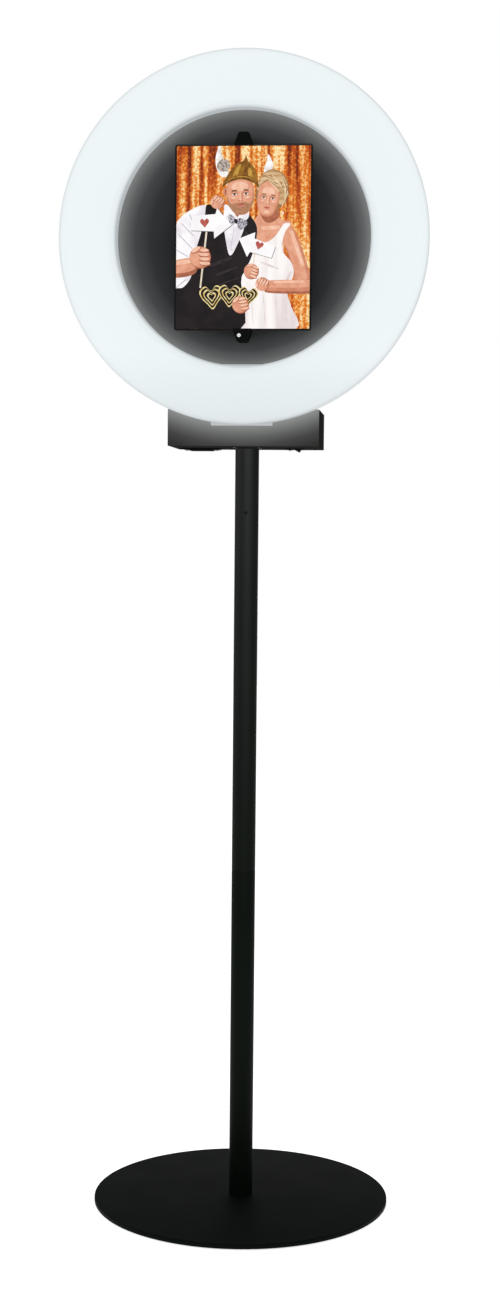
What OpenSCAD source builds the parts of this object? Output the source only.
// Photo booth on a stand: a round base, a two-piece pole, a control box, a ring light
// and a tablet in a sprung clamp. Millimetres, +Z up, the booth faces -Y.
// The origin is on the floor, under the middle of the base.

/* [Stand] */
// Diameter of the round base plate
base_d = 400; // [320:10:500]
// Thickness of the base plate
base_t = 6; // [5:0.5:12]
// Outer diameter of both pole sections
pole_d = 32; // [26:0.2:40]
// Wall of the pole's tubes
pole_wall = 1.6; // [1.2:0.1:2.4]
// Height of the seam between the two pole sections
seam_h = 455; // [350:5:600]

/* [Ring light] */
// Height of the ring's centre above the floor
ring_h = 1294; // [1070:1:1560]
// Outer diameter of the ring
ring_d = 480; // [440:1:580]
// Diameter of the hole in the ring
hole_d = 330; // [310:1:380]
// Depth of the ring, front to back
ring_depth = 27; // [22:0.5:34]
// Width of the square block at the bottom of the ring
block_w = 79; // [64:1:96]
// Wall of the opal diffuser
opal_wall = 2.4; // [1.6:0.1:3]

/* [Control box] */
// Width of the box
box_w = 199; // [165:1:240]
// Depth of the box, front to back
box_d = 130; // [128:1:160]
// Height of the box
box_h = 48; // [46:1:60]
// Wall of the box
box_wall = 2; // [1.6:0.1:2.5]
// How far the box reaches below the ring's lowest point
box_drop = 27; // [22:1:32]

/* [Tablet] */
// Width of the tablet
tablet_w = 178; // [148:1:214]
// Height of the tablet
tablet_h = 238; // [198:1:250]
// Thickness of the tablet
tablet_t = 7; // [6:0.1:8.4]
// Black border round the picture
border = 2.2; // [2:0.1:8]

/* [Fits] */
// Radial clearance of a shaft that turns in its bore
run_gap = 0.05; // [0.02:0.01:0.1]
// Gap between surfaces that slide or turn past each other
slide_gap = 0.3; // [0.2:0.05:0.4]
// Radial clearance of a screw in its hole
screw_gap = 0.15; // [0.1:0.05:0.3]

/* [Hidden] */
$fn = 96;
eps = 0.01;

// Heights
foot_t = 2;
plate_z = foot_t;
floor_z = plate_z + base_t;
ring_r = ring_d / 2;
hole_r = hole_d / 2;
box_z = ring_h - ring_r - box_drop;
box_top = box_z + box_h;
washer_t = 1.5;
pole_top = box_z - washer_t;
seam_gap = 0;

// Depths: the front of each layer is further along -Y
plate_t = 3;
y_box = -box_d / 2;
y_plate = y_box - plate_t;
y_ring = y_plate - ring_depth;

// Pole fittings
bore_r = pole_d / 2 - pole_wall;
spigot_r = bore_r - run_gap;
spigot_wall = 3;
spigot_len = 100;
lock_drop = 87;
lock_r = 2.5;
plug_len = 40;
bolt_r = 5;
stud_r = 6;
stud_len = 30;
flange_r = pole_d / 2 + 14;
flange_t = 4;

// Screws
m3 = 1.5;
m4 = 2;
m5 = 2.5;

// Ring light
block_drop = 1.2;
flat_rise = 2;
housing_gap = 0.2;
housing_wall = 2;
opal_skirt = ring_depth - 7;
board_t = 1.6;
board_in = hole_r + 19;
board_out = ring_r - 8;
led_rows = [board_in + 14, board_out - 14];
led_count = 45;
led_size = 5;
led_t = 1.4;
ring_screw_r = hole_r + 9;
ring_screw_count = 8;
disc_r = hole_r + 15;

// Back plate and its bracket
tongue_w = block_w - 3;
tongue_drop = box_top - (ring_h - ring_r) + 1;
tongue_screw_x = 28;
tongue_screw_z = box_top - 11;
bracket_w = 110;
bracket_t = 3;
bracket_up = 60;
bracket_back = 42;

// Inlet, switch and dimmer in the box
service_x = 63;
service_y = 18;
inlet_flange = [50, 28, 2];
inlet_body = [31, 24];
inlet_boss = 3.6;
inlet_deep = 20;
inlet_mouth = [24.4, 16.4];
inlet_hollow = 18;
switch_bezel = [26, 20, 1.6];
switch_body = [22, 16];
switch_deep = 15;
rocker_size = [18, 13.4];
rocker_tilt = 10;
rocker_rise = 2.2;
rocker_pivot_r = 1.5;
rocker_pivot_up = 3.2;
dimmer_x = 46;
dimmer_up = 24;
pot_size = 16;
pot_t = 9;
pot_thread_r = 3.5;
shaft_r = 3;
knob_r = 13;
knob_t = 15;

// Power supply and boards
supply_front = 7;
supply_back = 12;
supply = [112, box_d / 2 - supply_front - supply_back, 22];
supply_y = y_box + supply_front + supply[1] / 2;
supply_lift = 8;
vent_count = 9;
vent_pitch = 7;

// Tablet clamp
pivot_r = 5;
bush_wall = 3;
bush_flange_r = 22;
bush_flange_t = 2;
hub_r = 20;
hub_t = 3;
rail_w = 34;
rail_t = 8;
rail_pad_t = 1;
rail_end = 22;
slot_w = 20;
slot_t = 4.4;
slot_low = 8;
jaw_travel = 15;
jaw_wide = 24;
jaw_narrow = 12;
jaw_out = 15;
jaw_pad_t = 1;
lip_t = 3;
lip_over = border;
tongue_len = 60;
y_hub = y_plate - bush_flange_t - slide_gap;
y_rail = y_hub - hub_t;
y_pad = y_rail - rail_t;
y_tablet = y_pad - rail_pad_t;
y_glass = y_tablet - tablet_t;
y_lip = y_glass - slide_gap - lip_t;
knob_seat = 1.5;
hand_knob_r = 22;
hand_knob_t = 16;

// Tablet
glass_t = 0.8;
display_t = 1.2;
tablet_wall = 1.2;
tablet_corner = 3;
button_long = 14;
button_wide = 2.6;
button_out = 0.8;
button_deep = 1.6;
power_x = tablet_w / 2 - 30;
volume_z = tablet_h / 2 - 40;
volume_pitch = 18;

// ---------------------------------------------------------------- helpers

// Puts a flat drawing in the ring's plane: x stays x, y becomes height, and it grows towards the front from depth y.
module facing(y) {
    translate([0, y, ring_h]) rotate([90, 0, 0]) children();
}

// A tube standing on z = 0.
module tube(r_out, r_in, h) {
    difference() {
        cylinder(r = r_out, h = h);
        translate([0, 0, -1]) cylinder(r = r_in, h = h + 2);
    }
}

// A plate with its corners rounded, centred on the origin.
module rounded_rect(w, h, r) {
    union() {
        square([w - 2 * r, h], center = true);
        square([w, h - 2 * r], center = true);
        for (x = [-1, 1], y = [-1, 1]) translate([x * (w / 2 - r), y * (h / 2 - r)]) circle(r = r, $fn = 48);
    }
}

// A socket-head screw: the head stands on z = 0 and the shank hangs below it.
module screw(r, shank, head_r, head_t) {
    difference() {
        union() {
            cylinder(r = head_r, h = head_t, $fn = 48);
            translate([0, 0, -shank]) cylinder(r = r, h = shank + eps, $fn = 48);
        }
        translate([0, 0, head_t / 2]) cylinder(r = r * 0.8, h = head_t, $fn = 6);
    }
}

// A round wire that runs straight from point to point, with a ball at each bend.
module wire(points, r) {
    for (i = [0 : len(points) - 2]) {
        step = points[i + 1] - points[i];
        long = norm(step);
        turn = [0, acos(step[2] / long), atan2(step[1], step[0])];
        translate(points[i]) rotate(turn) cylinder(r = r, h = long, $fn = 24);
        if (i > 0) translate(points[i]) sphere(r = r, $fn = 24);
    }
}

// The ring's face, drawn in from its edges by inset: a ring with a square block at its foot.
module ring_shape(inset) {
    block = block_w - 2 * inset;
    difference() {
        union() {
            circle(r = ring_r - inset, $fn = 180);
            translate([-block / 2, -ring_r - block_drop + inset]) square([block, ring_r]);
        }
        difference() {
            circle(r = hole_r + inset, $fn = 180);
            translate([-block / 2, -ring_r]) square([block, ring_r - hole_r + flat_rise - inset]);
        }
    }
}

// ---------------------------------------------------------------- stand

module base_plate() {
    color("#121813") difference() {
        translate([0, 0, plate_z]) union() {
            cylinder(r = base_d / 2, h = base_t - 1, $fn = 240);
            translate([0, 0, base_t - 1]) cylinder(r1 = base_d / 2, r2 = base_d / 2 - 1, h = 1, $fn = 240);
        }
        translate([0, 0, plate_z - 1]) cylinder(r = bolt_r + screw_gap, h = base_t + 2);
        translate([0, 0, plate_z - 1]) cylinder(r = 2 * bolt_r, h = 1);
        translate([0, 0, plate_z]) cylinder(r1 = 2 * bolt_r, r2 = bolt_r, h = bolt_r);
    }
}

module base_feet() {
    color("#1a1a1a") for (a = [30 : 60 : 330]) rotate(a) translate([base_d / 2 - 22, 0, 0]) cylinder(r = 10, h = foot_t);
}

module base_bolt() {
    head_r = 2 * bolt_r;
    color("silver") difference() {
        translate([0, 0, plate_z]) union() {
            cylinder(r1 = head_r, r2 = bolt_r, h = head_r - bolt_r);
            cylinder(r = bolt_r, h = base_t + plug_len - 8);
        }
        translate([0, 0, plate_z - eps]) cylinder(r = 3.5, h = 4, $fn = 6);
    }
}

module foot_plug() {
    color("dimgray") translate([0, 0, floor_z]) tube(bore_r, bolt_r + screw_gap, plug_len);
}

// A pole section between two heights, with its outer corners broken where it meets the next piece.
module pole_tube(low, high, break_low, break_high) {
    c = 0.5;
    difference() {
        translate([0, 0, low]) cylinder(r = pole_d / 2, h = high - low);
        translate([0, 0, low - 1]) cylinder(r = bore_r, h = high - low + 2);
        if (break_low) translate([0, 0, low - eps]) difference() {
            cylinder(r = pole_d, h = c);
            translate([0, 0, -eps]) cylinder(r1 = pole_d / 2 - c, r2 = pole_d / 2, h = c + 2 * eps);
        }
        if (break_high) translate([0, 0, high - c]) difference() {
            cylinder(r = pole_d, h = c + 1);
            translate([0, 0, -eps]) cylinder(r1 = pole_d / 2, r2 = pole_d / 2 - c, h = c + 2 * eps);
            translate([0, 0, c]) cylinder(r = pole_d / 2 - c, h = 2);
        }
    }
}

module lower_pole() {
    color("#141914") pole_tube(floor_z, seam_h, false, true);
}

module upper_pole() {
    color("#1c211e") difference() {
        pole_tube(seam_h + seam_gap, pole_top, true, true);
        translate([0, 0, box_z - lock_drop]) rotate([90, 0, 0]) cylinder(r = lock_r + screw_gap, h = pole_d);
    }
}

// Plug in the top of the lower section, with the stud that the upper section screws onto.
module pole_joiner() {
    color("dimgray") union() {
        translate([0, 0, seam_h - plug_len]) cylinder(r = bore_r, h = plug_len);
        translate([0, 0, seam_h - 1]) cylinder(r = stud_r, h = stud_len + 1);
    }
}

module joiner_nut() {
    color("dimgray") translate([0, 0, seam_h + seam_gap]) tube(bore_r, stud_r + run_gap, plug_len);
}

module head_lock_screw() {
    tip = spigot_r + slide_gap;
    color("silver") translate([0, 0, box_z - lock_drop]) rotate([90, 0, 0]) difference() {
        translate([0, 0, tip]) cylinder(r = lock_r, h = pole_d / 2 - tip + 0.4, $fn = 48);
        translate([0, 0, pole_d / 2 - 0.6]) cylinder(r = 1.3, h = 3, $fn = 6);
    }
}

module swivel_washer() {
    color("#222222") translate([0, 0, pole_top]) tube(pole_d / 2 - 0.5, spigot_r + slide_gap, washer_t);
}

// ---------------------------------------------------------------- control box

module head_spigot() {
    color("gray") difference() {
        union() {
            translate([0, 0, box_z - spigot_len]) cylinder(r = spigot_r, h = spigot_len + box_wall + 1);
            translate([0, 0, box_z + box_wall]) cylinder(r = flange_r, h = flange_t);
        }
        translate([0, 0, box_z - spigot_len - 1]) cylinder(r = spigot_r - spigot_wall, h = spigot_len * 2);
        for (a = [45 : 90 : 315]) rotate(a) translate([flange_r - 7, 0, box_z]) cylinder(r = m4 + screw_gap, h = 20);
    }
}

module spigot_screws() {
    z = box_z + box_wall + flange_t;
    color("silver") for (a = [45 : 90 : 315]) rotate(a) translate([flange_r - 7, 0, z]) screw(m4, flange_t + box_wall, 3.8, 2.6);
}

corner_x = box_w / 2 - box_wall - 4;
corner_y = box_d / 2 - box_wall - 4;

module box_tray() {
    inner = [box_w - 2 * box_wall, box_d - 2 * box_wall];
    height = box_h - box_wall;
    color("#2a2c2a") difference() {
        union() {
            difference() {
                translate([-box_w / 2, y_box, box_z]) cube([box_w, box_d, height]);
                translate([-inner[0] / 2, -inner[1] / 2, box_z + box_wall]) cube([inner[0], inner[1], box_h]);
            }
            for (x = [-1, 1], y = [-1, 1])
                translate([x * corner_x - 4, y * corner_y - 4, box_z + 1]) cube([8, 8, height - 1]);
        }
        translate([0, 0, box_z - 1]) cylinder(r = spigot_r + slide_gap, h = box_wall + 2);
        for (a = [45 : 90 : 315])
            rotate(a) translate([flange_r - 7, 0, box_z - 1]) cylinder(r = m4 + screw_gap, h = box_wall + 2);
        translate([-service_x, service_y, box_z]) cube([inlet_body[0] + 0.4, inlet_body[1] + 0.4, 10], center = true);
        translate([service_x, service_y, box_z]) cube([switch_body[0] + 0.4, switch_body[1] + 0.4, 10], center = true);
        for (x = [-1, 1]) translate([-service_x + x * 20, service_y, box_z - 1]) cylinder(r = m3 + screw_gap, h = box_wall + 2);
        for (x = [-1, 1], y = [-1, 1])
            translate([x * corner_x, y * corner_y, box_top - 16]) cylinder(r = m3 + screw_gap, h = 20);
        for (x = [-1, 1]) translate([x * tongue_screw_x, y_box + box_wall + 1, tongue_screw_z])
            rotate([90, 0, 0]) cylinder(r = m5 + screw_gap, h = box_wall + 2);
        translate([0, y_box + box_wall + 1, lead_z]) rotate([90, 0, 0]) cylinder(r = grommet_r, h = box_wall + 2);
        translate([dimmer_x, box_d / 2 + 1, box_z + dimmer_up]) rotate([90, 0, 0])
            cylinder(r = pot_thread_r + screw_gap, h = box_wall + 2);
        for (i = [0 : vent_count - 1])
            translate([-30 - i * vent_pitch, box_d / 2 - box_wall / 2, box_z + box_h / 2]) cube([3, 10, box_h - 24], center = true);
    }
}

module box_lid() {
    color("#2a2c2a") difference() {
        translate([-box_w / 2, y_box, box_top - box_wall]) cube([box_w, box_d, box_wall]);
        for (x = [-1, 1], y = [-1, 1])
            translate([x * corner_x, y * corner_y, box_top - 5]) cylinder(r = m3 + screw_gap, h = 10);
        for (x = [-1, 1], y = [0, 1])
            translate([x * bracket_screw_x, bracket_screw_y(y), box_top - 5]) cylinder(r = m4 + screw_gap, h = 10);
    }
}

module lid_screws() {
    color("#303030") for (x = [-1, 1], y = [-1, 1])
        translate([x * corner_x, y * corner_y, box_top]) screw(m3, 12, 2.8, 1.8);
}

// The inlet hangs through the floor of the box, with its mouth facing down.
module power_inlet() {
    z = box_z - inlet_boss;
    color("#111111") difference() {
        union() {
            translate([-inlet_flange[0] / 2, -inlet_flange[1] / 2, box_z - inlet_flange[2]]) cube(inlet_flange);
            translate([-inlet_body[0] / 2, -inlet_body[1] / 2, z]) cube([inlet_body[0], inlet_body[1], inlet_deep + inlet_boss]);
        }
        translate([-inlet_mouth[0] / 2, -inlet_mouth[1] / 2, z - 1]) cube([inlet_mouth[0], inlet_mouth[1], inlet_hollow + 1]);
        for (x = [-1, 1]) translate([x * 20, 0, box_z - 5]) cylinder(r = m3 + screw_gap, h = 10);
    }
}

module inlet_pins() {
    root = box_z - inlet_boss + inlet_hollow;
    color("silver") for (p = [[-7, -2], [0, 3], [7, -2]])
        translate([p[0] - 1, p[1] - 2, root - 11]) cube([2, 4, 11]);
}

module inlet_screws() {
    color("silver") for (x = [-1, 1]) translate([x * 20, 0, box_z - inlet_flange[2]])
        mirror([0, 0, 1]) screw(m3, inlet_flange[2] + box_wall + 2, 2.8, 1.4);
}

// The switch hangs through the floor of the box beside the inlet; the rocker rocks about an axis along Y.
module switch_frame() {
    z = box_z - switch_bezel[2];
    hollow = [rocker_size[0] + 1.2, rocker_size[1] + 2 * slide_gap];
    color("#151515") difference() {
        union() {
            translate([-switch_bezel[0] / 2, -switch_bezel[1] / 2, z]) cube(switch_bezel);
            translate([-switch_body[0] / 2, -switch_body[1] / 2, z]) cube([switch_body[0], switch_body[1], switch_deep]);
        }
        translate([-hollow[0] / 2, -hollow[1] / 2, z - 1]) cube([hollow[0], hollow[1], switch_deep - 1]);
        translate([0, 0, z + rocker_pivot_up]) rotate([90, 0, 0])
            cylinder(r = rocker_pivot_r, h = switch_body[1] - 1, center = true, $fn = 48);
    }
}

module switch_terminals() {
    z = box_z - switch_bezel[2] + switch_deep;
    color("silver") for (x = [-6, 6]) translate([x - 0.4, -2.4, z]) cube([0.8, 4.8, 7]);
}

// Side view of the rocker, level, with z = 0 at its pivot and its two press faces below.
module rocker_profile() {
    half = rocker_size[0] / 2;
    edge = rocker_pivot_up + rocker_rise;
    intersection() {
        polygon([[-half, 3], [-half, -edge - 1], [0, -rocker_pivot_up], [half, -edge - 1], [half, 3]]);
        circle(r = half, $fn = 96);
    }
}

module switch_rocker() {
    z = box_z - switch_bezel[2] + rocker_pivot_up;
    color("#0c0c0c") translate([0, 0, z]) rotate([0, rocker_tilt, 0]) rotate([90, 0, 0]) union() {
        translate([0, 0, -rocker_size[1] / 2]) linear_extrude(rocker_size[1]) rocker_profile();
        cylinder(r = rocker_pivot_r - run_gap, h = switch_body[1] - 1.4, center = true, $fn = 48);
    }
}

module power_supply() {
    z = box_z + box_wall + supply_lift;
    color("#8f9396") difference() {
        translate([-supply[0] / 2, supply_y - supply[1] / 2, z]) cube(supply);
        for (i = [-3 : 3]) translate([i * 12, supply_y, z + supply[2]]) cube([5, supply[1] - 12, 3], center = true);
    }
}

module supply_standoffs() {
    color("silver") for (x = [-1, 1], y = [-1, 1])
        translate([x * (supply[0] / 2 - 6), supply_y + y * (supply[1] / 2 - 5), box_z + box_wall]) tube(3, 1.4, supply_lift);
}

board_front = 22;
board_rear = 7;
board_z = box_z + dimmer_up - pot_size / 2 - board_t;
dimmer_board_size = [58, box_d / 2 - box_wall - board_rear - board_front];
board_y = board_front + dimmer_board_size[1] / 2;

// Driver board that stands on four posts behind the power supply and carries the dimmer's potentiometer.
module dimmer_board() {
    post_x = dimmer_board_size[0] / 2 - 5;
    post_y = dimmer_board_size[1] / 2 - 5;
    color("darkgreen") translate([dimmer_x - 14, board_y, 0]) union() {
        translate([-dimmer_board_size[0] / 2, -dimmer_board_size[1] / 2, board_z])
            cube([dimmer_board_size[0], dimmer_board_size[1], board_t]);
        for (x = [-post_x, post_x], y = [14 - dimmer_board_size[1] / 2, post_y]) translate([x, y, box_z + box_wall])
            cylinder(r = 2.5, h = board_z - box_z - box_wall + eps, $fn = 32);
        translate([-24, 7 - dimmer_board_size[1] / 2, board_z + board_t - eps]) cube([12, 12, 9]);
        translate([-8, 7 - dimmer_board_size[1] / 2, board_z + board_t - eps]) cylinder(r = 5, h = 12, $fn = 32);
    }
}

module dimmer_pot() {
    back = box_d / 2 - box_wall;
    color("#5a6a8a") difference() {
        union() {
            translate([dimmer_x - pot_size / 2, back - pot_t, box_z + dimmer_up - pot_size / 2]) cube([pot_size, pot_t, pot_size]);
            translate([dimmer_x, back + box_wall + 4, box_z + dimmer_up]) rotate([90, 0, 0])
                cylinder(r = pot_thread_r, h = box_wall + 5, $fn = 48);
        }
        translate([dimmer_x, back + box_wall + 5, box_z + dimmer_up]) rotate([90, 0, 0])
            cylinder(r = shaft_r + run_gap, h = box_wall + 5 + pot_t - 2, $fn = 48);
    }
}

module dimmer_nut() {
    color("silver") translate([dimmer_x, box_d / 2, box_z + dimmer_up]) rotate([-90, 0, 0]) difference() {
        cylinder(r = 5.8, h = 2, $fn = 6);
        translate([0, 0, -1]) cylinder(r = pot_thread_r, h = 4, $fn = 48);
    }
}

dimmer_clear = 4.6;

module dimmer_shaft() {
    start = box_d / 2 - box_wall - pot_t + 3;
    stop = box_d / 2 + dimmer_clear + knob_t - 4;
    color("silver") translate([dimmer_x, start, box_z + dimmer_up]) rotate([-90, 0, 0]) cylinder(r = shaft_r, h = stop - start, $fn = 48);
}

module dimmer_knob() {
    color("#181818") translate([dimmer_x, box_d / 2 + dimmer_clear, box_z + dimmer_up]) rotate([-90, 0, 0]) difference() {
        union() {
            cylinder(r = knob_r, h = 3);
            translate([0, 0, 2]) linear_extrude(knob_t - 2) difference() {
                circle(r = knob_r - 1.5);
                for (a = [0 : 20 : 340]) rotate(a) translate([knob_r - 1, 0]) circle(r = 1, $fn = 24);
            }
        }
        translate([0, 0, -1]) cylinder(r = shaft_r, h = knob_t - 3, $fn = 48);
        translate([-0.6, 4, knob_t - 0.8]) cube([1.2, 4, 2]);
    }
}

wire_r = 1.3;

// Three mains wires: inlet to switch, inlet to supply, and switch to supply.
module mains_wires() {
    from = box_z + inlet_deep;
    to = box_z - switch_bezel[2] + switch_deep + 7;
    low = box_z + inlet_deep + 5;
    high = box_z + inlet_deep + 10;
    y1 = service_y - 15;
    y2 = service_y - 20;
    end = -supply_y_back();
    a = service_x - 6;
    b = service_x + 6;
    c = supply[0] / 2 - 6;
    color("#5a3a20") {
        wire([[-a, service_y, from], [-a, service_y, low], [-a, y1, low], [a, y1, low], [a, service_y, low], [a, service_y, to]], wire_r);
        wire([[-b, service_y - 6, from], [-b, service_y - 6, high], [-b, y2, high], [-c, y2, high], [-c, end, high]], wire_r);
        wire([[b, service_y, to], [b, service_y, high], [b, y2, high], [c, y2, high], [c, end, high]], wire_r);
    }
}

function supply_y_back() = -(supply_y + supply[1] / 2);

// Two wires from the power supply to the driver board.
module low_voltage_wires() {
    z = box_z + box_wall + supply_lift + 8;
    end = -supply_y_back();
    to = board_front + 7;
    color("#a02020") for (x = [dimmer_x - 36, dimmer_x - 31])
        translate([x, end, z]) rotate([-90, 0, 0]) cylinder(r = wire_r * 0.8, h = to - end, $fn = 24);
}

grommet_r = 5;
lead_r = 2.5;
lead_z = box_top - box_wall - 8;

// Lead from the driver board over the power supply, through the front wall and into the ring's block.
module led_lead() {
    x = dimmer_x - 32;
    y = board_front + 13;
    start = board_z + board_t + 9;
    color("#202020") wire([[x, y, start], [x, y, lead_z], [0, y, lead_z], [0, y_plate - housing_wall, lead_z]], lead_r);
}

module lead_grommet() {
    color("#101010") translate([0, y_box + box_wall + 1.5, lead_z]) rotate([90, 0, 0]) difference() {
        union() {
            cylinder(r = grommet_r - screw_gap, h = box_wall + 1.5, $fn = 48);
            cylinder(r = grommet_r + 2, h = 1.5, $fn = 48);
        }
        translate([0, 0, -1]) cylinder(r = lead_r + screw_gap, h = 10, $fn = 48);
    }
}

// ---------------------------------------------------------------- back plate

bracket_screw_x = bracket_w / 2 - 14;
function bracket_screw_y(i) = y_box + 14 + i * (bracket_back - 22);
plate_screw_z = [box_top + 22, box_top + 46];

// Black disc that closes the ring's hole, with a tongue that hangs in front of the box.
module back_plate() {
    low = ring_h - box_top + tongue_drop;
    color("#1b1c1c") difference() {
        facing(y_box) linear_extrude(plate_t) union() {
            circle(r = disc_r, $fn = 180);
            translate([-bracket_w / 2, -(ring_h - box_top) + 1]) square([bracket_w, ring_h - box_top]);
            translate([-tongue_w / 2, -low]) square([tongue_w, low]);
        }
        facing(y_box + 1) cylinder(r = pivot_r + bush_wall + screw_gap, h = plate_t + 2);
        facing(y_box + 1) for (i = [0 : ring_screw_count - 1])
            rotate(ring_screw_angle(i)) translate([ring_screw_r, 0, 0]) cylinder(r = m3 + screw_gap, h = plate_t + 2, $fn = 48);
        for (x = [-1, 1]) translate([x * tongue_screw_x, y_box + 1, tongue_screw_z]) rotate([90, 0, 0])
            cylinder(r = m5 + screw_gap, h = plate_t + 2, $fn = 48);
        for (x = [-1, 1], z = plate_screw_z) translate([x * bracket_screw_x, y_box + 1, z]) rotate([90, 0, 0])
            cylinder(r = m4 + screw_gap, h = plate_t + 2, $fn = 48);
        translate([0, y_box + 1, lead_z]) rotate([90, 0, 0]) cylinder(r = grommet_r, h = plate_t + 2, $fn = 48);
    }
}

function ring_screw_angle(i) = 22.5 + i * 360 / ring_screw_count;

// Angle with two gussets that stands on the lid and carries the plate.
module plate_bracket() {
    rib = 3;
    color("#1b1c1c") difference() {
        union() {
            translate([-bracket_w / 2, y_box, box_top]) cube([bracket_w, bracket_t, bracket_up]);
            translate([-bracket_w / 2, y_box, box_top]) cube([bracket_w, bracket_back, bracket_t]);
            for (x = [-bracket_w / 2, bracket_w / 2 - rib])
                translate([x + rib, y_box + bracket_t - 1, box_top + bracket_t - 1]) rotate([90, 0, -90]) linear_extrude(rib)
                    polygon([[0, 0], [-(bracket_back - bracket_t + 1), 0], [0, bracket_up - bracket_t + 1]]);
        }
        for (x = [-1, 1], z = plate_screw_z) translate([x * bracket_screw_x, y_box + 10, z]) rotate([90, 0, 0])
            cylinder(r = m4 + screw_gap, h = 20, $fn = 48);
        for (x = [-1, 1], y = [0, 1])
            translate([x * bracket_screw_x, bracket_screw_y(y), box_top - 1]) cylinder(r = m4 + screw_gap, h = 10, $fn = 48);
    }
}

module tongue_screws() {
    color("silver") for (x = [-1, 1]) translate([x * tongue_screw_x, y_box + box_wall, tongue_screw_z])
        rotate([-90, 0, 0]) screw(m5, box_wall + plate_t, 4.2, 2.8);
}

module bracket_screws() {
    color("silver") union() {
        for (x = [-1, 1], z = plate_screw_z) translate([x * bracket_screw_x, y_box + bracket_t, z])
            rotate([-90, 0, 0]) screw(m4, bracket_t + plate_t, 3.6, 2.4);
        for (x = [-1, 1], y = [0, 1]) translate([x * bracket_screw_x, bracket_screw_y(y), box_top + bracket_t])
            screw(m4, bracket_t + box_wall + 2, 3.6, 2.4);
    }
}

// ---------------------------------------------------------------- ring light

// Black channel behind the diffuser, open to the front.
module ring_housing() {
    side = opal_wall + housing_gap;
    color("#1a1a1a") difference() {
        facing(y_plate) union() {
            linear_extrude(housing_wall) ring_shape(side);
            linear_extrude(ring_depth - opal_wall) difference() {
                ring_shape(side);
                ring_shape(side + housing_wall);
            }
            for (i = [0 : ring_screw_count - 1]) rotate(ring_screw_angle(i)) translate([ring_screw_r, 0, 0]) cylinder(r = 4, h = 10, $fn = 48);
        }
        facing(y_plate + 1) for (i = [0 : ring_screw_count - 1])
            rotate(ring_screw_angle(i)) translate([ring_screw_r, 0, 0]) cylinder(r = m3 + screw_gap, h = 9, $fn = 48);
        translate([0, y_plate + 1, lead_z]) rotate([90, 0, 0]) cylinder(r = lead_r + slide_gap, h = housing_wall + 2, $fn = 48);
    }
}

module led_board() {
    color("white") facing(y_plate - housing_wall) linear_extrude(board_t) difference() {
        circle(r = board_out, $fn = 180);
        circle(r = board_in, $fn = 180);
    }
}

module leds() {
    color("lightyellow") facing(y_plate - housing_wall - board_t) for (row = [0, 1], i = [0 : led_count - 1])
        rotate((i + row / 2) * 360 / led_count) translate([led_rows[row] - led_size / 2, -led_size / 2, 0])
            cube([led_size, led_size, led_t]);
}

// Opal cap over the housing: a front face with a skirt round both edges.
module diffuser() {
    color("#eaf1f2") facing(y_ring + opal_skirt) difference() {
        linear_extrude(opal_skirt) ring_shape(0);
        translate([0, 0, -1]) linear_extrude(opal_skirt + 1 - opal_wall) ring_shape(opal_wall);
    }
}

module ring_screws() {
    color("silver") translate([0, y_box, ring_h]) rotate([90, 0, 0]) for (i = [0 : ring_screw_count - 1])
        rotate(ring_screw_angle(i)) translate([ring_screw_r, 0, 0]) mirror([0, 0, 1]) screw(m3, plate_t + 7, 2.8, 1.8);
}

// ---------------------------------------------------------------- tablet clamp

module pivot_bush() {
    color("#d8d4c8") facing(y_box) difference() {
        union() {
            cylinder(r = pivot_r + bush_wall, h = plate_t + 1);
            translate([0, 0, plate_t]) cylinder(r = bush_flange_r, h = bush_flange_t);
        }
        translate([0, 0, -1]) cylinder(r = pivot_r + run_gap, h = plate_t + bush_flange_t + 2);
    }
}

stud_back = y_box + knob_seat + hand_knob_t - 5;

module pivot_stud() {
    color("silver") translate([0, stud_back, ring_h]) rotate([90, 0, 0]) cylinder(r = pivot_r, h = stud_back - y_hub);
}

// Six-lobed hand knob on the back that clamps the pivot.
module pivot_knob() {
    color("#161616") translate([0, y_box + knob_seat, ring_h]) rotate([-90, 0, 0]) difference() {
        union() {
            cylinder(r = 11, h = hand_knob_t - 1);
            translate([0, 0, 4]) linear_extrude(hand_knob_t - 4) union() {
                circle(r = hand_knob_r - 3);
                for (a = [0 : 60 : 300]) rotate(a) translate([hand_knob_r - 6, 0]) circle(r = 6, $fn = 48);
            }
        }
        translate([0, 0, -1]) cylinder(r = pivot_r + run_gap, h = hand_knob_t - 3);
    }
}

rail_low = -tablet_h / 2 + 12;
rail_high = tablet_h / 2 - rail_end;

// Flat rail behind the tablet, with the hub it turns on and the slot that guides the sprung jaw.
module holder_rail() {
    slot_y = (rail_t - slot_t) / 2;
    color("#141414") difference() {
        union() {
            facing(y_hub) cylinder(r = hub_r, h = hub_t + 1);
            facing(y_rail) translate([-rail_w / 2, rail_low, 0]) cube([rail_w, rail_high - rail_low, rail_t]);
        }
        facing(y_rail) translate([-slot_w / 2 - slide_gap, slot_low, slot_y]) cube([slot_w + 2 * slide_gap, tablet_h, slot_t]);
        facing(y_hub + 1) cylinder(r = pivot_r, h = hub_t + 1);
    }
}

module rail_pad() {
    color("#2c2c2c") facing(y_pad) translate([-rail_w / 2 + 3, rail_low + 6, 0]) cube([rail_w - 6, rail_high - rail_low - 12, rail_pad_t]);
}

// Outline of a jaw seen from the front: it starts at the tablet's edge, y = 0, and narrows to its tip.
module jaw_outline(reach) {
    polygon([[-jaw_wide / 2, -reach], [jaw_wide / 2, -reach], [jaw_wide / 2, 0], [jaw_narrow / 2 + 1, jaw_out - 1],
             [jaw_narrow / 2 - 2, jaw_out], [-jaw_narrow / 2 + 2, jaw_out], [-jaw_narrow / 2 - 1, jaw_out - 1], [-jaw_wide / 2, 0]]);
}

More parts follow.
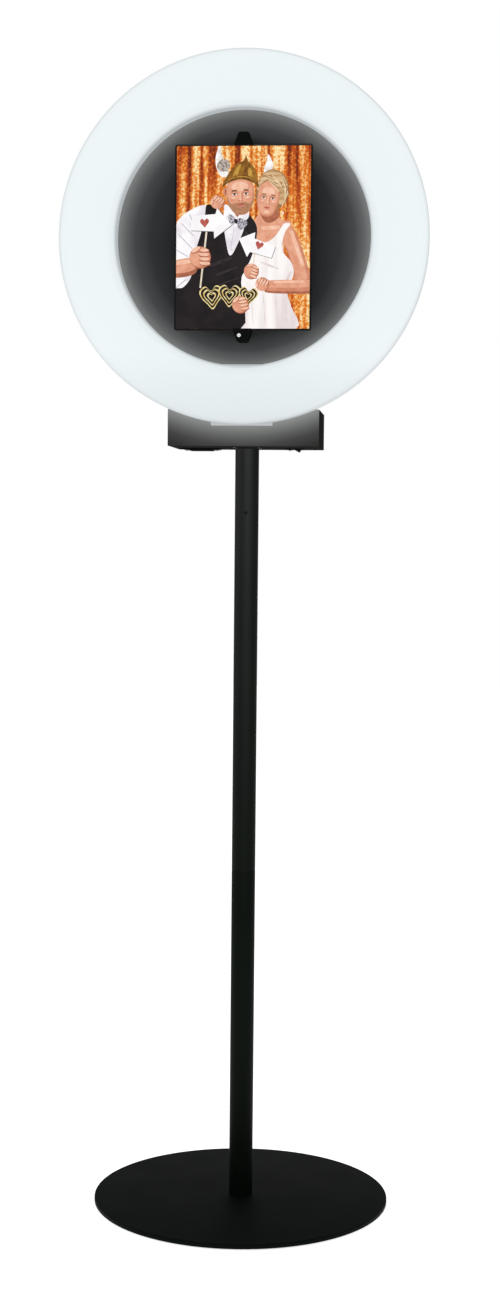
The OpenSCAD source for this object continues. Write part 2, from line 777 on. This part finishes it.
// A jaw for the tablet's top edge, as seen from the front, with its seat at y = 0 and its back at depth 0.
module jaw() {
    full = y_rail - y_lip;
    difference() {
        linear_extrude(full) jaw_outline(lip_over);
        translate([-jaw_wide, -30, -1]) cube([2 * jaw_wide, 30 + jaw_pad_t, y_rail - y_glass + slide_gap + 1]);
    }
}

module lower_jaw() {
    back_t = rail_t - eps;
    color("#101112") facing(y_rail) mirror([0, 1, 0]) translate([0, tablet_h / 2, 0]) difference() {
        union() {
            jaw();
            translate([-jaw_wide / 2, -12, 0]) cube([jaw_wide, 12 + jaw_pad_t + 1, rail_t]);
        }
        translate([jaw_bolt_x, jaw_bolt_out, -1]) cylinder(r = m3 + screw_gap, h = 40, $fn = 48);
        translate([jaw_bolt_x, jaw_bolt_out, y_rail - y_lip - 2]) cylinder(r = 3, h = 5, $fn = 48);
    }
}

jaw_bolt_x = -4;
jaw_bolt_out = 6.5;

module jaw_bolt() {
    top = y_rail - y_lip;
    color("white") facing(y_rail) mirror([0, 1, 0]) translate([jaw_bolt_x, tablet_h / 2 + jaw_bolt_out, top - 2]) screw(m3, top - 3, 2.4, 1.6);
}

module lower_jaw_pad() {
    color("#2c2c2c") facing(y_tablet) mirror([0, 1, 0]) translate([-jaw_wide / 2 + 2, tablet_h / 2, 0.5]) cube([jaw_wide - 4, jaw_pad_t, tablet_t - 1]);
}

module upper_jaw() {
    slot_y = (rail_t - slot_t) / 2;
    tongue_t = slot_t - 2 * slide_gap;
    seat = tablet_h / 2 + slide_gap;
    color("#101112") facing(y_rail) union() {
        translate([0, seat, 0]) jaw();
        translate([-slot_w / 2, seat - tongue_len, slot_y + slide_gap]) cube([slot_w, tongue_len + jaw_pad_t + 1, tongue_t]);
    }
}

module upper_jaw_pad() {
    color("#2c2c2c") facing(y_tablet) translate([-jaw_wide / 2 + 2, tablet_h / 2 + slide_gap, 0.5]) cube([jaw_wide - 4, jaw_pad_t, tablet_t - 1]);
}

// Close-wound spring in the rail's slot, between the slot's end and the jaw's tongue.
module jaw_spring() {
    coil = slot_t / 2 - slide_gap;
    high = tablet_h / 2 + slide_gap - tongue_len;
    color("silver") translate([0, y_rail - rail_t / 2, ring_h + slot_low]) tube(coil, coil - 0.6, high - slot_low);
}

// ---------------------------------------------------------------- tablet

module tablet_shell() {
    rest = tablet_t - glass_t;
    color("#2b2d30") difference() {
        facing(y_tablet) linear_extrude(rest) rounded_rect(tablet_w, tablet_h, tablet_corner);
        facing(y_tablet - tablet_wall) translate([-tablet_w / 2 + tablet_wall, -tablet_h / 2 + tablet_wall, 0])
            cube([tablet_w - 2 * tablet_wall, tablet_h - 2 * tablet_wall, tablet_t]);
        for (p = button_places) button_pocket(p);
    }
}

// Each button: where its outer face sits on the tablet's edge, and which way it faces.
button_places = [
    [[power_x, tablet_h / 2], 90],
    [[tablet_w / 2, volume_z], 0],
    [[tablet_w / 2, volume_z - volume_pitch], 0]
];

module button_at(p) {
    facing(y_tablet - (tablet_t - glass_t) / 2) translate([p[0][0], p[0][1], 0]) rotate(p[1]) children();
}

module button_pocket(p) {
    button_at(p) cube([2 * button_deep + 1, button_long + 0.6, button_wide + 0.6], center = true);
}

// A side button: a cap that stands out of the edge, with a flange inside the shell that stops it falling out.
module button(i) {
    stop = 0.6;
    cap = tablet_wall + button_out;
    color("#3c3f43") button_at(button_places[i]) union() {
        translate([-tablet_wall, -button_long / 2, -button_wide / 2]) cube([cap, button_long, button_wide]);
        translate([-tablet_wall - stop, -button_long / 2 - 0.8, -button_wide / 2]) cube([stop, button_long + 1.6, button_wide]);
    }
}

module power_button() button(0);
module volume_up_button() button(1);
module volume_down_button() button(2);

module tablet_glass() {
    color("#050505") facing(y_glass + glass_t) linear_extrude(glass_t) rounded_rect(tablet_w, tablet_h, tablet_corner);
}

module tablet_display() {
    color("#c07030") facing(y_glass + glass_t + display_t) linear_extrude(display_t)
        square([tablet_w - 2 * tablet_wall - 1, tablet_h - 2 * tablet_wall - 1], center = true);
}

inside_y = y_tablet - tablet_wall;
inside_t = tablet_t - glass_t - display_t - tablet_wall;

module tablet_battery() {
    w = tablet_w / 2 - 14;
    color("#303030") facing(inside_y) for (x = [-1, 1])
        translate([x * (w / 2 + 1) - w / 2, -tablet_h / 2 + 12, 0]) cube([w, tablet_h * 0.62, inside_t]);
}

module tablet_board() {
    color("darkgreen") facing(inside_y) translate([-tablet_w / 2 + 14, tablet_h * 0.62 - tablet_h / 2 + 16, 0])
        cube([tablet_w - 28, tablet_h * 0.38 - 30, inside_t * 0.7]);
}

// ---------------------------------------------------------------- output

module in_place(x) {
    translate([x, service_y, 0]) children();
}

base_plate();
base_feet();
base_bolt();
lower_pole();
foot_plug();
pole_joiner();
upper_pole();
joiner_nut();
head_lock_screw();
swivel_washer();
head_spigot();
spigot_screws();
box_tray();
box_lid();
lid_screws();
in_place(-service_x) power_inlet();
in_place(-service_x) inlet_pins();
in_place(-service_x) inlet_screws();
in_place(service_x) switch_frame();
in_place(service_x) switch_terminals();
in_place(service_x) switch_rocker();
power_supply();
supply_standoffs();
dimmer_board();
dimmer_pot();
dimmer_nut();
dimmer_shaft();
dimmer_knob();
mains_wires();
low_voltage_wires();
led_lead();
lead_grommet();
back_plate();
plate_bracket();
tongue_screws();
bracket_screws();
ring_housing();
led_board();
leds();
diffuser();
ring_screws();
pivot_bush();
pivot_stud();
pivot_knob();
holder_rail();
rail_pad();
lower_jaw();
lower_jaw_pad();
jaw_bolt();
upper_jaw();
upper_jaw_pad();
jaw_spring();
tablet_shell();
tablet_glass();
tablet_display();
tablet_battery();
tablet_board();
power_button();
volume_up_button();
volume_down_button();
